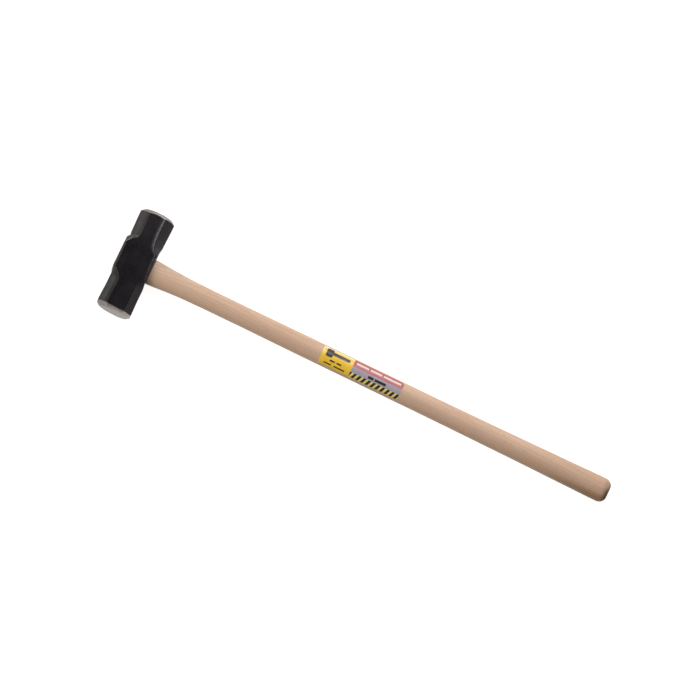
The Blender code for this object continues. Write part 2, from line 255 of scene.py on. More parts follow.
# ---- Node helpers ----------------------------------------------------------
class Paint:
    """A material's nodes, written as calls. Vectors are in the tool's frame, in metres."""

    def __init__(self, name):
        self.material = bpy.data.materials.new(name)
        self.material.use_nodes = True
        self.tree = self.material.node_tree
        self.shader = self.tree.nodes["Principled BSDF"]
        where = self.node("ShaderNodeTexCoord")
        self.at = self.node(
            "ShaderNodeMapping",
            {
                "Vector": where.outputs["Object"],
                "Location": TOOL.translation,
                "Rotation": TOOL.to_euler(),
            },
            vector_type="TEXTURE",
        ).outputs[0]

    def node(self, kind, inputs=None, **settings):
        n = self.tree.nodes.new(kind)
        for key, value in settings.items():
            setattr(n, key, value)
        for key, value in (inputs or {}).items():
            if isinstance(value, bpy.types.NodeSocket):
                self.tree.links.new(value, n.inputs[key])
            else:
                n.inputs[key].default_value = value
        return n

    def scaled(self, *scale, vector=None, turn=(0.0, 0.0, 0.0)):
        return self.node(
            "ShaderNodeMapping",
            {"Vector": vector or self.at, "Scale": scale, "Rotation": turn},
        ).outputs[0]

    def noise(self, vector, scale=1.0, detail=3.0, rough=0.55, distortion=0.0):
        return self.node(
            "ShaderNodeTexNoise",
            {
                "Vector": vector,
                "Scale": scale,
                "Detail": detail,
                "Roughness": rough,
                "Distortion": distortion,
            },
        ).outputs["Fac"]

    def maths(self, operation, a, b=0.0, clamp=False):
        return self.node(
            "ShaderNodeMath", {0: a, 1: b}, operation=operation, use_clamp=clamp
        ).outputs[0]

    def span(self, value, a, b, low=0.0, high=1.0, smooth_step=False):
        """value, from a to b, turned into low to high and held there."""
        return self.node(
            "ShaderNodeMapRange",
            {"Value": value, "From Min": a, "From Max": b, "To Min": low, "To Max": high},
            interpolation_type="SMOOTHSTEP" if smooth_step else "LINEAR",
        ).outputs[0]

    def blend(self, fac, a, b, how="MIX"):
        n = self.node(
            "ShaderNodeMix", {"Factor": fac}, data_type="RGBA", blend_type=how
        )
        for socket, value in ((n.inputs[6], a), (n.inputs[7], b)):
            if isinstance(value, bpy.types.NodeSocket):
                self.tree.links.new(value, socket)
            else:
                socket.default_value = (*value, 1.0)
        return n.outputs[2]

    def attribute(self, name):
        return self.node("ShaderNodeAttribute", attribute_name=name).outputs["Fac"]

    def bump(self, height, distance, strength=1.0, normal=None):
        inputs = {"Height": height, "Distance": distance, "Strength": strength}
        if normal:
            inputs["Normal"] = normal
        return self.node("ShaderNodeBump", inputs).outputs[0]

    def finish(self, **sockets):
        for key, value in sockets.items():
            socket = self.shader.inputs[key.replace("_", " ")]
            if isinstance(value, bpy.types.NodeSocket):
                self.tree.links.new(value, socket)
            else:
                socket.default_value = value
        return self.material


# ---- Materials -------------------------------------------------------------
def black_paint():
    """Satin black paint over a forging: faint scale under it, orange peel, and a little
    rubbing on the edges."""
    p = Paint("black_paint")
    cloud = p.noise(p.scaled(38, 30, 38), detail=5.0, rough=0.6)
    fine = p.noise(p.scaled(420, 420, 420), detail=3.0)
    peel = p.noise(p.scaled(650, 650, 650), detail=1.0)
    pits = p.noise(p.scaled(170, 130, 170), detail=3.0, rough=0.55)
    colour = p.blend(
        p.span(cloud, 0.35, 0.68), (0.0048, 0.0040, 0.0060), (0.0078, 0.0068, 0.0088)
    )
    rub = p.maths(
        "MULTIPLY",
        p.span(p.attribute("edge"), 0.45, 1.0),
        p.span(fine, 0.50, 0.66),
        clamp=True,
    )
    rub = p.maths("MULTIPLY", rub, p.span(cloud, 0.42, 0.60, 0.15, 1.0))
    colour = p.blend(rub, colour, (0.060, 0.056, 0.055))
    dust = p.maths("MULTIPLY", p.span(pits, 0.56, 0.74), 0.22)
    colour = p.blend(dust, colour, (0.030, 0.027, 0.026))
    rough = p.span(cloud, 0.3, 0.7, 0.27, 0.35)
    rough = p.maths("ADD", rough, p.span(fine, 0.3, 0.7, -0.03, 0.04))
    normal = p.bump(pits, 0.00012, 0.35)
    normal = p.bump(peel, 0.00003, 0.3, normal)
    p.shader.inputs["Specular IOR Level"].default_value = 0.5
    return p.finish(Base_Color=colour, Roughness=rough, Normal=normal, Metallic=0.0)


def bare_steel():
    """Ground steel: fine rings from the grinding, a few deeper scratches, darker blooms."""
    p = Paint("ground_steel")
    split = p.node("ShaderNodeSeparateXYZ", {"Vector": p.at})
    x, y, z = split.outputs[0], split.outputs[1], split.outputs[2]
    radius = p.maths(
        "SQRT", p.maths("ADD", p.maths("MULTIPLY", x, x), p.maths("MULTIPLY", z, z))
    )
    ring = p.node(
        "ShaderNodeCombineXYZ",
        {0: p.maths("MULTIPLY", x, 40.0), 1: p.maths("MULTIPLY", z, 40.0)},
    )
    p.tree.links.new(p.maths("MULTIPLY", radius, 2600.0), ring.inputs[2])
    grind = p.noise(ring.outputs[0], detail=3.0, rough=0.6)
    cross = p.noise(p.scaled(2400, 60, 90, turn=(0.0, 0.5, 0.0)), detail=2.0)
    cloud = p.noise(p.scaled(55, 55, 55), detail=5.0, rough=0.6)
    colour = p.blend(
        p.span(cloud, 0.35, 0.65), (0.475, 0.440, 0.420), (0.61, 0.575, 0.555)
    )
    colour = p.blend(
        p.maths("MULTIPLY", p.span(grind, 0.35, 0.7), 0.35), colour, (0.68, 0.65, 0.63)
    )
    stain = p.maths("MULTIPLY", p.span(cloud, 0.60, 0.75), 0.30)
    colour = p.blend(stain, colour, (0.25, 0.21, 0.19))
    edge = p.maths("MULTIPLY", p.span(p.attribute("edge"), 0.35, 1.0), 0.16)
    colour = p.blend(edge, colour, (0.26, 0.23, 0.22))
    bevel = p.attribute("bevel")
    # painted shade: the ground bevel is made darker towards the crown side (-X) and on the +Y end
    bevel_painted_shade = p.span(x, -0.022, 0.004, 0.38, 0.08, smooth_step=True)
    bevel_painted_shade = p.maths("ADD", bevel_painted_shade, p.span(y, 0.0, 0.02, 0.0, 0.24))
    colour = p.blend(p.maths("MULTIPLY", bevel, bevel_painted_shade), colour, (0.030, 0.022, 0.019))
    rough = p.span(grind, 0.3, 0.7, 0.34, 0.50)
    rough = p.maths("ADD", rough, p.span(cloud, 0.3, 0.7, -0.04, 0.05))
    normal = p.bump(grind, 0.00002, 0.6)
    normal = p.bump(cross, 0.00002, 0.5, normal)
    return p.finish(Base_Color=colour, Roughness=rough, Normal=normal, Metallic=1.0)


def wood(name, pale, dark, finish_rough=0.50, end_dark=0.68):
    """Pale, close-grained wood: the grain runs along X, with faint growth rings, short
    dark flecks and fine fibres. Cut across, the same grain shows as dots and rings."""
    p = Paint(name)
    wander = p.noise(p.scaled(3.5, 22, 22), detail=2.0)
    split = p.node("ShaderNodeSeparateXYZ", {"Vector": p.at})
    y = p.maths("ADD", split.outputs[1], 0.043)
    z = p.maths("ADD", split.outputs[2], 0.061)
    far = p.maths("SQRT", p.maths("ADD", p.maths("MULTIPLY", y, y), p.maths("MULTIPLY", z, z)))
    far = p.maths("ADD", far, p.maths("MULTIPLY", wander, 0.012))
    ring = p.maths("FRACT", p.maths("MULTIPLY", far, 430.0))
    late = p.maths(
        "MULTIPLY",
        p.span(ring, 0.30, 0.92, smooth_step=True),
        p.span(ring, 1.0, 0.93, smooth_step=True),
    )
    fibre = p.noise(p.scaled(14, 900, 900), detail=4.0, rough=0.65)
    broad = p.noise(p.scaled(5, 60, 60), detail=3.0)
    fleck = p.noise(p.scaled(260, 1500, 1500), detail=1.0, rough=0.4)
    fleck_far = p.noise(p.scaled(30, 160, 160), detail=2.0)
    pore = p.noise(p.scaled(420, 4200, 4200), detail=1.0)
    colour = p.blend(p.span(broad, 0.30, 0.70), dark, pale)
    blotch = p.noise(p.scaled(30, 75, 75), detail=2.0)
    colour = p.blend(
        p.span(blotch, 0.42, 0.68, 0.0, 0.55),
        colour,
        tuple(c * s for c, s in zip(pale, (1.05, 0.965, 0.945))),
    )
    colour = p.blend(
        p.span(blotch, 0.56, 0.34, 0.0, 0.45),
        colour,
        tuple(c * s for c, s in zip(pale, (0.97, 1.00, 0.98))),
    )
    # painted light: the wood is made paler near the head, where it lies in brighter light
    colour = p.blend(
        p.span(split.outputs[0], 0.02, 0.22, 0.46, 0.0),
        colour,
        tuple(c * s for c, s in zip(pale, (1.16, 1.21, 1.21))),
    )
    colour = p.blend(
        p.span(split.outputs[0], 0.70, 0.84, 0.0, 0.22),
        colour,
        tuple(c * s for c, s in zip(dark, (0.80, 0.70, 0.56))),
    )
    # painted shade: the -Y side of the handle near the butt is made darker, where less light falls on it
    butt_underside_painted_shade = p.maths(
        "MULTIPLY",
        p.span(split.outputs[0], 0.74, 0.85, smooth_step=True),
        p.span(split.outputs[1], -0.006, -0.019, smooth_step=True),
    )
    colour = p.blend(
        p.maths("MULTIPLY", butt_underside_painted_shade, 0.90),
        colour,
        tuple(c * s for c, s in zip(dark, (0.42, 0.30, 0.12))),
    )
    colour = p.blend(
        p.maths("MULTIPLY", late, 0.34),
        colour,
        tuple(c * s for c, s in zip(dark, (0.80, 0.72, 0.66))),
    )
    colour = p.blend(
        p.span(fibre, 0.30, 0.72, 0.0, 0.42),
        colour,
        tuple(c * s for c, s in zip(pale, (1.10, 1.10, 1.10))),
    )
    marks = p.maths(
        "MULTIPLY", p.span(fleck, 0.60, 0.68), p.span(fleck_far, 0.38, 0.62, 0.25, 1.0)
    )
    brown = tuple(c * s for c, s in zip(dark, (0.55, 0.42, 0.34)))
    colour = p.blend(p.maths("MULTIPLY", marks, 0.50), colour, brown)
    colour = p.blend(p.maths("MULTIPLY", p.span(pore, 0.60, 0.72), 0.22), colour, brown)
    end = p.attribute("end")
    colour = p.blend(
        p.maths("MULTIPLY", end, end_dark),
        colour,
        tuple(c * s for c, s in zip(dark, (0.41, 0.31, 0.19))),
    )
    # painted shade: the -Y half of the butt's rounded end is made dark, where it turns away from the light
    butt_end_painted_shade = p.maths(
        "MULTIPLY",
        p.span(split.outputs[0], 0.8715, 0.8785, smooth_step=True),
        p.span(
            p.maths("ADD", split.outputs[1], p.maths("MULTIPLY", wander, 0.004)),
            0.010,
            -0.002,
            smooth_step=True,
        ),
    )
    colour = p.blend(
        p.maths("MULTIPLY", butt_end_painted_shade, 0.86),
        colour,
        tuple(c * s for c, s in zip(dark, (0.16, 0.125, 0.055))),
    )
    rough = p.span(fibre, 0.3, 0.7, finish_rough - 0.05, finish_rough + 0.08)
    rough = p.maths("ADD", rough, p.maths("MULTIPLY", end, 0.18))
    normal = p.bump(fibre, 0.00005, 0.45)
    normal = p.bump(
        p.maths("SUBTRACT", 1.0, p.maths("MAXIMUM", marks, p.span(pore, 0.60, 0.72))),
        0.00004,
        0.5,
        normal,
    )
    return p.finish(Base_Color=colour, Roughness=rough, Normal=normal)


def wedge_steel():
    p = Paint("wedge_steel")
    brush = p.noise(p.scaled(60, 60, 2400), detail=3.0)
    cloud = p.noise(p.scaled(220, 220, 220), detail=4.0)
    colour = p.blend(p.span(cloud, 0.35, 0.65), (0.33, 0.33, 0.34), (0.48, 0.48, 0.49))
    rough = p.span(brush, 0.3, 0.7, 0.30, 0.46)
    normal = p.bump(brush, 0.00002, 0.5)
    normal = p.bump(cloud, 0.00010, 0.5, normal)
    return p.finish(Base_Color=colour, Roughness=rough, Normal=normal, Metallic=1.0)


def print_ink(name, colour, spread=0.06, rough=0.34):
    """Ink on glossy film: an even colour, slightly mottled, with fine scuffs along the
    handle."""
    p = Paint(name)
    mottle = p.noise(p.scaled(160, 160, 160), detail=3.0)
    grain = p.noise(p.scaled(2600, 2600, 2600), detail=1.0)
    scuff = p.noise(p.scaled(40, 1400, 1400), detail=3.0)
    low = tuple(c * (1.0 - spread) for c in colour)
    high = tuple(min(c * (1.0 + spread), 1.0) for c in colour)
    out = p.blend(p.span(mottle, 0.3, 0.7), low, high)
    out = p.blend(
        p.span(grain, 0.35, 0.75, 0.0, 0.10), out, tuple(mix(c, 0.9, 0.25) for c in colour)
    )
    out = p.blend(
        p.span(scuff, 0.66, 0.80, 0.0, 0.20), out, tuple(mix(c, 0.8, 0.5) for c in colour)
    )
    roughness = p.span(scuff, 0.35, 0.75, rough - 0.04, rough + 0.14)
    return p.finish(
        Base_Color=out, Roughness=roughness, Normal=p.bump(scuff, 0.00001, 0.4)
    )


# ---- Head ------------------------------------------------------------------
ARC, SIDE = 7, 14  # points on each corner, and steps across each flat

# How far each chamfer bulges in its middle, by end: between its cheek and the sides of
# the head, going round from the handle side of the upper cheek.
BULGE = {
    +1: {0: 0.00030, 2: 0.00060, 4: 0.00040, 6: 0.00030},
    -1: {0: 0.00004, 2: 0.00095, 4: 0.00050, 6: 0.00020},
}
# how hard the corners between the flats are, by end, going round from the handle side
CORNER_ROUND = {
    +1: (0.0026, 0.0016, 0.0016, 0.0026, 0.0026, 0.0026, 0.0026, 0.0026),
    -1: (0.0018, 0.0018, 0.0010, 0.0018, 0.0018, 0.0018, 0.0018, 0.0018),
}
CHAMFER_LEAN = {+1: {}, -1: {("handle", +1): 0.86}}  # below 1, turned towards the cheek
# the rolled edge of the upper cheek, on the +Y end: it turns, then slopes evenly to the corner
ROLL_TURN, ROLL_WIDTH, ROLL_SLOPE = 0.0022, 0.0062, 0.335
ROLL_CORNER = 0.0019  # how much nearer the handle that corner lies than the chamfer's own
ROLL_SWELL = 0.0013  # and a little more where it turns out to the block
CHEEK_FALL = 0.0006  # how far the cheeks fall towards that end


def head_ring(y):
    """The forging's outline at y, measured from the eye, as (point, edge weight) pairs."""
    end = 1 if y >= 0.0 else -1
    away = abs(y)
    flare = smooth(away, FLARE_FROM, FLARE_TO)
    side = {key: mix(END_NECK[key], END_FACE[key], flare) for key in END_NECK}
    crown = mix(BOSS_HALF, side["crown"], smooth(away, *BOSS_STEP[end]))
    if end > 0:
        crown -= CROWN_DIP * math.exp(-(((away - 0.0405) / 0.0035) ** 2))
    handle = mix(SHOULDER_HALF, side["handle"], smooth(away, *SHOULDER_STEP[end]))
    out = smooth(away, *RUN_OUT[end], RUN_OUT_LEAN)
    leg = {
        key: mix(BLOCK_CHAMFER[key[0]], full, out) for key, full in CHAMFER[end].items()
    }
    top = HEAD_DEPTH / 2.0
    corners = []
    for side_name, x, cheek in (
        ("handle", handle, +1),
        ("crown", -crown, +1),
        ("crown", -crown, -1),
        ("handle", handle, -1),
    ):
        c = leg[(side_name, cheek)]
        inward = -c if side_name == "handle" else c
        lean = mix(1.0, CHAMFER_LEAN[end].get((side_name, cheek), 1.0), out)
        if end > 0 and side_name == "handle" and cheek > 0:
            inward += ROLL_CORNER * smooth(away, 0.020, 0.045)
            inward += ROLL_SWELL * math.exp(-(((away - 0.046) / 0.013) ** 2))
        on_side = (x, cheek * (top - c * lean))
        on_cheek = (x + inward, cheek * top)
        first = on_side if (side_name == "handle") == (cheek > 0) else on_cheek
        second = on_cheek if first is on_side else on_side
        corners += [Vector(first), Vector(second)]
    arcs = []
    for i, here in enumerate(corners):
        radius = mix(BLOCK_ROUND, CORNER_ROUND[end][i], out)
        if i == 1:
            # the block's edge beside the handle sharpens towards the -Y end
            radius = min(radius, mix(0.0010, BLOCK_ROUND, smooth(y, -0.016, 0.020)))
        before = corners[i - 1] - here
        after = corners[(i + 1) % 8] - here
        half = before.angle(after) / 2.0
        reach = min(radius / math.tan(half), 0.48 * before.length, 0.48 * after.length)
        a, b = here + before.normalized() * reach, here + after.normalized() * reach
        arcs.append([bend(a, here, b, k / (ARC - 1)) for k in range(ARC)])
    fall = CHEEK_FALL * smooth(y, 0.052, 0.094) / top
    edge, foot = corners[1].x, corners[0].y  # the rolled edge, and its chamfer's foot

    def settled(q, weight):
        x, z = q.x, q.y * (1.0 - fall)
        if end > 0 and z > foot:
            over = max(min(x, edge) - (edge - ROLL_WIDTH), 0.0)
            turned = min(over, ROLL_TURN)
            drop = ROLL_SLOPE * (0.5 * turned * turned / ROLL_TURN + over - turned)
            z -= drop * smooth(away, 0.020, 0.045) * (z - foot) / (top - foot)
        return Vector((x, y, z)), weight

    ring = []
    for i, arc in enumerate(arcs):
        for k, q in enumerate(arc):
            ring.append(settled(q, math.sin(math.pi * k / (ARC - 1))))
        start, stop = arc[-1], arcs[(i + 1) % 8][0]
        along = stop - start
        proud = BULGE[end].get(i, 0.0) * out
        outward = Vector((along.y, -along.x)).normalized()
        if outward.dot((start + stop) / 2.0) < 0.0:
            outward = -outward
        for k in range(1, SIDE):
            t = k / SIDE
            ring.append(settled(start + along * t + outward * proud * 4.0 * t * (1.0 - t), 0.0))
    return ring


def face_fall(r):
    if r <= FACE_FLAT:
        return 0.0
    if r <= FACE_EDGE:
        return FACE_CROWN * ((r - FACE_FLAT) / (FACE_EDGE - FACE_FLAT)) ** 2
    d = r - FACE_EDGE
    return FACE_CROWN + BEVEL_SLOPE * d + BEVEL_CURVE * d * d


def eye_half(x):
    if x < EYE_WAIST_AT:
        t = (EYE_WAIST_AT - x) / (EYE_WAIST_AT + BOSS_HALF)
        far = EYE_CROWN
    else:
        t = (x - EYE_WAIST_AT) / (SHOULDER_HALF - EYE_WAIST_AT)
        far = EYE_MOUTH
    return tuple(mix(w, f, t * t) for w, f in zip(EYE_WAIST, far))


def eye_ring(x, shrink=0.0, count=96):
    a, b = eye_half(x)
    return [
        (x, *oval(a - shrink, b - shrink, 2 * math.pi * i / count, EYE_POWER))
        for i in range(count)
    ]


def forged(point):
    """How far the forging's surface stands from its drawn place."""
    broad = noise.noise(point * 34.0 + Vector((3.1, 0.7, 5.2)))
    middle = noise.noise(point * 110.0 + Vector((9.4, 2.8, 1.3)))
    return 0.00010 * broad + 0.00001 * middle


def make_head():
    """The painted forging and its two ground ends as one skin, with the eye cut through."""
    near = 0.066
    ys = sorted(
        {0.0, 0.006, 0.012, 0.018}
        | {0.018 + 0.00125 * k for k in range(1, 29)}
        | {0.056, 0.059, 0.0625, near}
    )
    bm = bmesh.new()
    edge_layer = bm.verts.layers.float.new("edge")
    bevel_layer = bm.verts.layers.float.new("bevel")
    columns = len(head_ring(0.0))

    def vertex(point, edge=0.0, bevel=0.0):
        v = bm.verts.new(point)
        v[edge_layer] = edge
        v[bevel_layer] = bevel
        return v

    def ring_of(y):
        return [vertex(q, e) for q, e in head_ring(y)]

    rows = [ring_of(y) for y in [-y for y in reversed(ys)] + ys[1:]]

    bare_from = {}
    for end in (+1, -1):
        centre = Vector((GRIND_SHIFT[end], HEAD_OFFSET + end * HEAD_LENGTH / 2.0, 0.0))

        # the bevel is ground by hand: it follows the outline more than a true circle
        def follow(k):
            q = head_ring(end * 0.086)[k][0]
            return mix(1.0, 0.0306 / math.hypot(q.x, q.z), GRIND_FOLLOW[end])

        follows = [follow(k) for k in range(columns)]

        def on_turned(direction, r, k):
            f = mix(1.0, follows[k], smooth(r, 0.012, 0.024))
            fall = face_fall(r * f) - GRIND_TILT[end] * direction.x * r
            return centre + direction * r - Vector((0.0, end * fall, 0.0))

        # where each column of the forging meets the turned surface
        low = [0.070] * columns
        high = [0.096] * columns
        for _ in range(26):
            rings = {}
            for k in range(columns):
                y = (low[k] + high[k]) / 2.0
                q = head_ring(end * y)[k][0] if y not in rings else rings[y][k][0]
                away = Vector((q.x - centre.x, 0.0, q.z))
                surface = abs(centre.y) - face_fall(away.length * follows[k])
                surface += GRIND_TILT[end] * away.x
                if y < surface:
                    low[k] = y
                else:
                    high[k] = y
            if max(h - l for h, l in zip(high, low)) < 1e-6:
                break
        meet = [(l + h) / 2.0 for l, h in zip(low, high)]
        weights = [e for _, e in head_ring(end * near)]
        corner = [head_ring(end * y)[k][0] for k, y in enumerate(meet)]
        soft = 0.0005
        out = []
        for t in (0.2, 0.4, 0.6, 0.78, 0.9):
            out.append(
                [
                    vertex(head_ring(end * mix(near, y - soft, t))[k][0], weights[k])
                    for k, y in enumerate(meet)
                ]
            )
        side_edge = [head_ring(end * (y - soft))[k][0] for k, y in enumerate(meet)]
        rays, reach = [], []
        for q in corner:
            away = Vector((q.x - centre.x, 0.0, q.z))
            rays.append(away.normalized())
            reach.append(away.length)
        turned_edge = [on_turned(rays[k], reach[k] - soft, k) for k in range(columns)]
        for t in (0.0, 0.3, 0.6, 1.0):
            out.append(
                [
                    vertex(bend(a, c, b, t), 1.0 if t < 1.0 else 0.5, 1.0)
                    for a, c, b in zip(side_edge, corner, turned_edge)
                ]
            )
        paint_line = len(out) - 3
        crease = 0.0005
        for t in (0.25, 0.5, 0.75, 1.0):
            out.append(
                [
                    vertex(
                        on_turned(
                            rays[k],
                            mix(reach[k] - soft, FACE_EDGE / follows[k] + crease, t),
                            k,
                        ),
                        0.0,
                        1.0,
                    )
                    for k in range(columns)
                ]
            )
        for d, bevel in ((crease * 0.4, 0.8), (-crease * 0.4, 0.2), (-crease, 0.0)):
            out.append(
                [
                    vertex(on_turned(rays[k], FACE_EDGE / follows[k] + d, k), 0.0, bevel)
                    for k in range(columns)
                ]
            )
        for r in (0.0205, 0.0182, 0.0160, 0.0139, FACE_FLAT, 0.0080, 0.0040):
            out.append([vertex(on_turned(rays[k], r, k)) for k in range(columns)])
        pole = vertex(centre)
        bare_from[end] = (out, paint_line, pole)

    def bridge(low, high, material):
        for i in range(columns):
            j = (i + 1) % columns
            f = bm.faces.new((low[i], low[j], high[j], high[i]))
            f.material_index = material

    for low, high in zip(rows, rows[1:]):
        bridge(low, high, 0)
    for end, first in ((+1, rows[-1]), (-1, rows[0])):
        out, paint_line, pole = bare_from[end]
        previous = first
        for n, row in enumerate(out):
            bridge(previous, row, 1 if n > paint_line else 0)
            previous = row
        for i in range(columns):
            f = bm.faces.new((previous[i], previous[(i + 1) % columns], pole))
            f.material_index = 1
    bmesh.ops.recalc_face_normals(bm, faces=bm.faces)
    bm.normal_update()
    moves = []
    for v in bm.verts:
        fade = 1.0 - smooth(abs(v.co.y), 0.078, 0.086)
        if abs(v.co.z) < 0.022 and abs(v.co.y) < 0.026:
            fade = 0.0
        moves.append((v, v.normal * forged(v.co) * fade))
    for v, move in moves:
        v.co += move
    head = mesh_object("sledge_head", bm)
    head.data.materials.append(black_paint())
    head.data.materials.append(bare_steel())
    xs = [-0.042, -0.0345, -0.0331]
    xs += [-0.0324 + 0.0022 * k for k in range(28)] + [0.0292, 0.036]
    rings = []
    for x in xs:
        lip = 0.0007 * (smooth(-x, 0.0320, 0.0335) + smooth(x, 0.0278, 0.0292))
        rings.append(eye_ring(x, -lip))
    eye = loft("eye", rings)
    cut(head, [eye])
    return place(head, "head", sharp=38.0)


# ---- Handle ----------------------------------------------------------------
def handle_half(x):
    y = curve_through(STATIONS, 1, x) / 2.0
    z = curve_through(STATIONS, 2, x) / 2.0
    start = HANDLE_END - BUTT_LENGTH
    if x > start:
        t = min((x - start) / BUTT_LENGTH, 1.0)
        drop = 1.0 - math.sqrt(max(1.0 - t * t, 0.0))
        y, z = y - BUTT_FALL_Y * drop, z - BUTT_FALL_Z * drop
    if x < SHOULDER_AT + SHOULDER_ROUND:
        t = 1.0 - max(x - SHOULDER_AT, 0.0) / SHOULDER_ROUND
        drop = SHOULDER_ROUND * (1.0 - math.sqrt(1.0 - t * t))
        y, z = y - drop, z - drop
    return y, z


ROUND = 112  # points round the handle


def handle_ring(x, scale=1.0):
    a, b = handle_half(x)
    return [
        (x, *oval(a * scale, b * scale, 2 * math.pi * i / ROUND, HANDLE_POWER))
        for i in range(ROUND)
    ]


def taper(top_x, depth, top, tip):
    return [(top_x, -top), (top_x + depth, -tip), (top_x + depth, tip), (top_x, top)]


def make_handle():
    """One stick, with its tenon in the eye, sawn for the wedge, and its domed butt."""
    bm = bmesh.new()
    end_layer = bm.verts.layers.float.new("end")
    rings = []
    for x in [TENON_TOP + 0.0003] + [-0.031 + 0.003 * k for k in range(18)]:
        rings.append((eye_ring(x, FIT, ROUND), smooth(-x, 0.0312, 0.0320)))
    rings.insert(0, (eye_ring(TENON_TOP, FIT + 0.0003, ROUND), 1.0))
    rings.append((eye_ring(SHOULDER_AT, FIT, ROUND), 0.0))
    xs = [
        SHOULDER_AT + SHOULDER_ROUND * (1.0 - math.cos(math.radians(a)))
        for a in range(0, 91, 15)
    ]
    xs += [0.0335 + 0.002 * k for k in range(1, 12)]
    xs += [0.0600 + 0.004 * k for k in range(200) if 0.0600 + 0.004 * k < 0.8650]
    start = HANDLE_END - BUTT_LENGTH
    xs += [start + BUTT_LENGTH * math.sin(math.radians(a)) for a in range(0, 91, 6)]
    for x in xs:
        rings.append((handle_ring(x), smooth(x, HANDLE_END - 0.0052, HANDLE_END - 0.0012)))
    rows = []
    for ring, end in rings:
        row = []
        for q in ring:
            q = Vector(q)
            if SHOULDER_AT + 0.003 < q.x < 0.868:
                out = Vector((0.0, q.y, q.z)).normalized()
                q += out * 0.00009 * noise.noise(Vector((q.x * 22.0, q.y * 60.0, q.z * 60.0)))
            v = bm.verts.new(q)
            v[end_layer] = end
            row.append(v)
        rows.append(row)
    for low, high in zip(rows, rows[1:]):
        for i in range(ROUND):
            j = (i + 1) % ROUND
            bm.faces.new((low[i], low[j], high[j], high[i]))
    bm.faces.new(rows[0][::-1])
    # the middle of the butt closes in rings, so that its end stays evenly meshed
    last, x = rows[-1], HANDLE_END
    for scale in (0.8, 0.55, 0.3):
        row = []
        for q in handle_ring(x, scale):
            v = bm.verts.new((q[0] + 0.0004 * (1.0 - scale * scale) * 0.0, q[1], q[2]))
            v[end_layer] = 1.0
            row.append(v)
        for i in range(ROUND):
            j = (i + 1) % ROUND
            bm.faces.new((last[i], last[j], row[j], row[i]))
        last = row
    middle = bm.verts.new((x, 0.0, 0.0))
    middle[end_layer] = 1.0
    for i in range(ROUND):
        bm.faces.new((last[i], last[(i + 1) % ROUND], middle))
    handle = mesh_object("hammer_handle", bm)
    cutters = [
        block(
            "kerf",
            taper(TENON_TOP - 0.010, KERF_DEPTH + 0.010, KERF_TOP + 0.0004, KERF_FOOT),
            0.030,
            "Y",
        )
    ]
    for centre in STEEL_AT:
        slot = taper(TENON_TOP - 0.010, STEEL_DEPTH + 0.0102, STEEL_TOP + 0.0008, STEEL_TIP + 0.0001)
        cutters.append(
            block("slot", [(x, y + centre) for x, y in slot], STEEL_HALF_WIDTH + 0.0001)
        )
    cut(handle, cutters)
    handle.data.materials.append(
        wood("pale_wood", (0.695, 0.492, 0.345), (0.615, 0.415, 0.282))
    )
    return place(handle, "handle", sharp=35.0)


def make_wedges():
    wooden = block("wooden_wedge", taper(TENON_TOP, WEDGE_DEPTH, WEDGE_TOP, WEDGE_TIP), WEDGE_HALF_WIDTH, "Y")
    slots = []
    for centre in STEEL_AT:
        slot = taper(TENON_TOP - 0.010, STEEL_DEPTH + 0.0102, STEEL_TOP + 0.0008, STEEL_TIP + 0.0001)
        slots.append(
            block("slot", [(x, y + centre) for x, y in slot], STEEL_HALF_WIDTH + 0.0001)
        )
    cut(wooden, slots)
    end = wooden.data.attributes.new("end", "FLOAT", "POINT")
    for i, v in enumerate(wooden.data.vertices):
        end.data[i].value = 1.0 if v.co.x < TENON_TOP + 0.0002 else 0.0
    wooden.data.materials.append(
        wood("wedge_wood", (0.50, 0.33, 0.20), (0.42, 0.27, 0.15), 0.60, 0.35)
    )
    place(wooden, "wood_wedge", sharp=30.0)
    metal = wedge_steel()
    for number, centre in enumerate(STEEL_AT, 1):
        side = []
        for k in range(STEEL_STEPS):
            near, far = k / STEEL_STEPS, (k + 1) / STEEL_STEPS
            wide = mix(STEEL_TOP, STEEL_TIP, near)
            slim = mix(STEEL_TOP, STEEL_TIP, far) - (0.0004 if k < STEEL_STEPS - 1 else 0.0)
            side += [(TENON_TOP + STEEL_DEPTH * near, wide), (TENON_TOP + STEEL_DEPTH * far, slim)]
        outline = [(x, centre - w) for x, w in side]
        outline += [(x, centre + w) for x, w in reversed(side)]
        steel = block(f"driven_wedge_{number}", outline, STEEL_HALF_WIDTH)
        bevel = steel.modifiers.new("edges", "BEVEL")
        bevel.width = 0.00018
        bevel.segments = 2
        bevel.limit_method = "ANGLE"
        apply_modifiers(steel)
        steel.data.materials.append(metal)
        place(steel, f"steel_wedge_{number}", sharp=40.0)


# ---- Label -----------------------------------------------------------------
def rectangle(s0, s1, q0, q1):
    return [(s0, q0), (s1, q0), (s1, q1), (s0, q1)]


def label_outline():
    """The label laid flat, in millimetres: s along the handle, q round it from below."""
    r = LABEL_CORNER * 1000.0
    long = LABEL_LENGTH * 1000.0
    out = []
    for cs, cq, turn in (
        (long - r, r, -90),
        (long - r, LABEL_ARC - r, 0),
        (r, LABEL_ARC - r, 90),
        (r, r, 180),
    ):
        for k in range(7):
            a = math.radians(turn + 15 * k)
            out.append((cs + r * math.cos(a), cq + r * math.sin(a)))
    return out


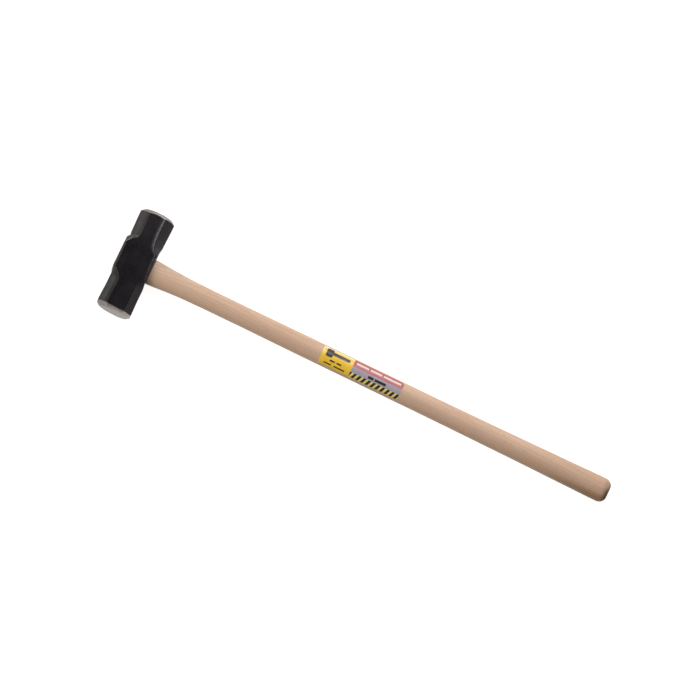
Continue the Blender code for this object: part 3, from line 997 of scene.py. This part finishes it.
def label_art():
    """The print, in painting order, as (ink, outline). It is plain shapes only: panels, a
    hammer pictogram, bars where lines of print would be, and slanted stripes."""
    panel, right = 56.6, 148.0
    art = [
        ("straw", rectangle(panel, right, 0.0, 10.3)),
        ("grey", rectangle(panel, right, 10.3, 19.1)),
        ("red", rectangle(panel, right, 19.1, LABEL_ARC)),
        ("cream", rectangle(0.0, panel, 29.4, LABEL_ARC)),
        ("cream", rectangle(0.0, 2.6, 22.0, 29.4)),
    ]
    # pictogram of the tool itself
    art.append(
        (
            "dark",
            [
                (8.4, 16.2), (17.6, 16.2), (19.2, 18.2), (19.2, 20.4), (48.6, 20.6),
                (50.2, 22.0), (50.2, 24.8), (48.6, 26.2), (19.2, 26.4), (19.2, 28.4),
                (17.6, 30.4), (8.4, 30.4), (6.8, 28.4), (6.8, 18.2),
            ],
        )
    )
    for s0, s1 in ((17.5, 27.0), (30.0, 38.5)):
        art.append(("dark", rectangle(s0, s1, 11.0, 13.5)))
    for s0, s1 in ((9.0, 22.5), (27.5, 47.5)):
        art.append(("dark", rectangle(s0, s1, 4.4, 6.9)))
    # plain bars on the red
    for s0, s1 in ((61.4, 84.0), (87.0, 108.0), (111.0, 143.6)):
        art.append(("pale", rectangle(s0, s1, 24.0, 27.9)))
    for s0, s1 in ((87.5, 97.5), (100.0, 120.5)):
        art.append(("dark", rectangle(s0, s1, 12.6, 16.4)))
    pitch = 8.8
    for k in range(-1, 11):
        s = 60.6 + pitch * k
        stripe = [(s, 0.45), (s + 4.6, 0.45), (s + 8.8, 10.3), (s + 4.2, 10.3)]
        art.append(("dark", clip(stripe, panel, right - 0.6)))
    return art


def clip(outline, low, high):
    """The part of an outline with low <= s <= high."""
    for limit, keep in ((low, 1.0), (high, -1.0)):
        out = []
        for i, b in enumerate(outline):
            a = outline[i - 1]
            ina, inb = (a[0] - limit) * keep >= 0.0, (b[0] - limit) * keep >= 0.0
            if ina != inb:
                t = (limit - a[0]) / (b[0] - a[0])
                out.append((limit, a[1] + (b[1] - a[1]) * t))
            if inb:
                out.append(b)
        outline = out
    return outline


def inside(outline, s, q):
    hit = False
    for i, (bs, bq) in enumerate(outline):
        s0, q0 = outline[i - 1]
        if (bq > q) != (q0 > q) and s < (s0 - bs) * (q - bq) / (q0 - bq) + bs:
            hit = not hit
    return hit


def make_label():
    """A thin closed sheet, cut along every printed edge and bent round the wood."""
    long = LABEL_LENGTH * 1000.0
    outline = label_outline()
    art = [(ink, shape) for ink, shape in label_art() if len(shape) > 2]
    points, edges = [], []

    def add_loop(shape):
        start = len(points)
        points.extend(Vector(p) for p in shape)
        count = len(shape)
        edges.extend((start + i, start + (i + 1) % count) for i in range(count))

    add_loop(outline)
    for _, shape in art:
        add_loop(shape)
    for k in range(1, 24):
        q = LABEL_ARC * k / 24.0
        points.extend((Vector((0.0, q)), Vector((long, q))))
        edges.append((len(points) - 2, len(points) - 1))
    for k in range(1, 25):
        s = long * k / 25.0
        points.extend((Vector((s, 0.0)), Vector((s, LABEL_ARC))))
        edges.append((len(points) - 2, len(points) - 1))
    panel = 56.6
    points.extend((Vector((panel, 0.0)), Vector((panel, LABEL_ARC))))
    edges.append((len(points) - 2, len(points) - 1))
    flat, _, faces, _, _, _ = delaunay_2d_cdt(points, edges, [], 0, 1e-4)

    inks = ["yellow", "dark", "red", "pale", "grey", "cream", "straw"]

    def where(s, q, out):
        x = LABEL_FROM + s / 1000.0
        a, b = handle_half(x)
        angle = math.pi / 2.0 + LABEL_HALF_ANGLE * (1.0 - 2.0 * q / LABEL_ARC)
        return (x, *oval(a + out, b + out, angle, HANDLE_POWER))

    bm = bmesh.new()
    top, under = {}, {}
    for i, p in enumerate(flat):
        top[i] = bm.verts.new(where(p.x, p.y, 0.00024))
        under[i] = bm.verts.new(where(p.x, p.y, 0.00011))
    count = {}
    for f in faces:
        s = sum(flat[i].x for i in f) / len(f)
        q = sum(flat[i].y for i in f) / len(f)
        if not inside(outline, s, q):
            continue
        ink = "yellow"
        for name, shape in art:
            if inside(shape, s, q):
                ink = name
        bm.faces.new([top[i] for i in f]).material_index = inks.index(ink)
        bm.faces.new([under[i] for i in reversed(f)]).material_index = 3
        for i, j in zip(f, list(f[1:]) + [f[0]]):
            count[(i, j)] = True
    for i, j in list(count):
        if (j, i) not in count:
            bm.faces.new((top[j], top[i], under[i], under[j])).material_index = 3
    loose = [v for v in bm.verts if not v.link_faces]
    bmesh.ops.delete(bm, geom=loose, context="VERTS")
    label = mesh_object("wrap_label", bm)
    colours = {
        "yellow": (1.0, 0.650, 0.048),
        "dark": (0.010, 0.009, 0.010),
        "red": (0.480, 0.106, 0.112),
        "pale": (0.84, 0.70, 0.68),
        "grey": (0.435, 0.40, 0.46),
        "cream": (0.93, 0.83, 0.48),
        "straw": (0.90, 0.745, 0.23),
    }
    for ink in inks:
        label.data.materials.append(print_ink("print_" + ink, colours[ink]))
    return place(label, "label", sharp=50.0)


# ---- Stage -----------------------------------------------------------------
def make_floor():
    bm = bmesh.new()
    bmesh.ops.create_grid(bm, x_segments=2, y_segments=2, size=6.0)
    floor = mesh_object("floor", bm)
    if floor.data.polygons[0].normal.z < 0.0:
        floor.data.flip_normals()
    p = Paint("floor_white")
    grain = p.noise(p.scaled(9, 9, 9), detail=3.0)
    colour = p.blend(p.span(grain, 0.3, 0.7), (0.49, 0.49, 0.49), (0.51, 0.51, 0.51))
    seen = p.node("ShaderNodeLightPath").outputs["Is Camera Ray"]
    glow = p.span(seen, 0.0, 1.0, FLOOR_GLOW, FLOOR_GLOW + FLOOR_SEEN)
    material = p.finish(Base_Color=colour, Roughness=0.9, Emission_Strength=glow)
    p.shader.inputs["Specular IOR Level"].default_value = 0.0
    p.shader.inputs["Emission Color"].default_value = (1.0, 1.0, 1.0, 1.0)
    floor.data.materials.append(material)
    return floor


FLOOR_GLOW, FLOOR_SEEN = 0.332, 0.580
DOME, WALL = (0.002, 0.002, 0.002), (0.91, 0.91, 0.92)
HEAD_AT = TOOL @ Vector((0.0, 0.0, 0.0))
MIDDLE = TOOL @ Vector((0.40, 0.0, 0.0))

# name: (aimed at, azimuth of the source from +X towards +Y, its elevation, distance,
# width, height, power in watts, colour)
LIGHTS = {
    "bar_25": (HEAD_AT, 25.0, 50.0, 1.6, 0.7, 0.14, 4.75, (0.99, 0.97, 1.00)),
    "strip_70": (HEAD_AT, 70.0, 50.0, 1.6, 0.22, 0.8, 8.30, (1.00, 0.97, 1.00)),
    "skirt_135": (HEAD_AT, 135.0, 3.4, 2.4, 1.6, 0.26, 18.40, (1.00, 0.88, 0.79)),
    "skirt_180": (HEAD_AT, 180.0, 3.4, 2.4, 1.6, 0.26, 5.19, (1.00, 0.92, 0.85)),
    "skirt_45": (HEAD_AT, 45.0, 3.4, 2.4, 1.6, 0.26, 2.60, (0.98, 0.98, 1.00)),
    "card_5": (HEAD_AT, 5.0, 13.0, 2.4, 1.4, 0.3, 2.5, (1.00, 0.92, 0.86)),
    "low_225": (HEAD_AT, 225.0, 9.0, 2.4, 1.6, 0.7, 3.20, (1.00, 0.86, 0.74)),
    "low_90": (MIDDLE, 90.0, 9.0, 2.4, 1.6, 0.7, 14.01, (1.00, 0.96, 0.89)),
    "soft_180": (MIDDLE, 180.0, 38.0, 2.8, 1.6, 1.2, 18.28, (1.00, 0.89, 0.84)),
    "soft_225": (MIDDLE, 225.0, 38.0, 2.8, 1.6, 1.2, 20.40, (1.00, 0.95, 0.91)),
}


def make_lights():
    for name, (aim, azimuth, elevation, away, wide, high, power, colour) in LIGHTS.items():
        data = bpy.data.lights.new(name, "AREA")
        data.shape = "RECTANGLE"
        data.size, data.size_y = wide, high
        data.energy = power
        data.color = colour
        ob = link(bpy.data.objects.new(name, data))
        a, e = math.radians(azimuth), math.radians(elevation)
        back = Vector((math.cos(a) * math.cos(e), math.sin(a) * math.cos(e), math.sin(e)))
        ob.location = aim + back * away
        ob.rotation_euler = back.to_track_quat("Z", "Y").to_euler()
    world = bpy.data.worlds.new("studio")
    bpy.context.scene.world = world
    world.use_nodes = True
    background = world.node_tree.nodes["Background"]
    background.inputs["Color"].default_value = (*DOME, 1.0)
    background.inputs["Strength"].default_value = 1.0
    # the camera sees a pale wall where the light sees an almost dark room
    nodes, links = world.node_tree.nodes, world.node_tree.links
    wall = nodes.new("ShaderNodeBackground")
    wall.inputs["Color"].default_value = (*WALL, 1.0)
    wall.inputs["Strength"].default_value = 1.0
    choose, path = nodes.new("ShaderNodeMixShader"), nodes.new("ShaderNodeLightPath")
    links.new(path.outputs["Is Camera Ray"], choose.inputs[0])
    links.new(background.outputs[0], choose.inputs[1])
    links.new(wall.outputs[0], choose.inputs[2])
    links.new(choose.outputs[0], nodes["World Output"].inputs["Surface"])


def make_camera():
    """Far away and long, square over the tool: a little below it, with the handle falling
    to the right."""
    away, low, side, roll = 20.0, math.radians(9.0), math.radians(0.5), math.radians(25.8)
    width = 700 * 1.6772e-3
    aim = TOOL @ Vector((0.3868, 0.0279, 0.0))
    back = Vector(
        (math.sin(side) * math.cos(low), -math.sin(low), math.cos(side) * math.cos(low))
    )
    along = (TOOL.to_3x3() @ Vector((1.0, 0.0, 0.0))).normalized()
    along = (along + back * -along.dot(back)).normalized()
    across = back.cross(along)
    right = along * math.cos(roll) + across * math.sin(roll)
    up = back.cross(right)
    data = bpy.data.cameras.new("camera")
    camera = link(bpy.data.objects.new("camera", data))
    camera.matrix_world = (
        Matrix.Translation(aim + back * away) @ Matrix((right, up, back)).transposed().to_4x4()
    )
    data.sensor_width = 36.0
    data.lens = 36.0 * away / width
    data.clip_start, data.clip_end = 0.1, 60.0
    bpy.context.scene.camera = camera


# ---- Build -----------------------------------------------------------------
make_camera()
make_head()
make_handle()
make_wedges()
make_label()
make_floor()
make_lights()
bpy.context.scene.view_settings.view_transform = "Standard"
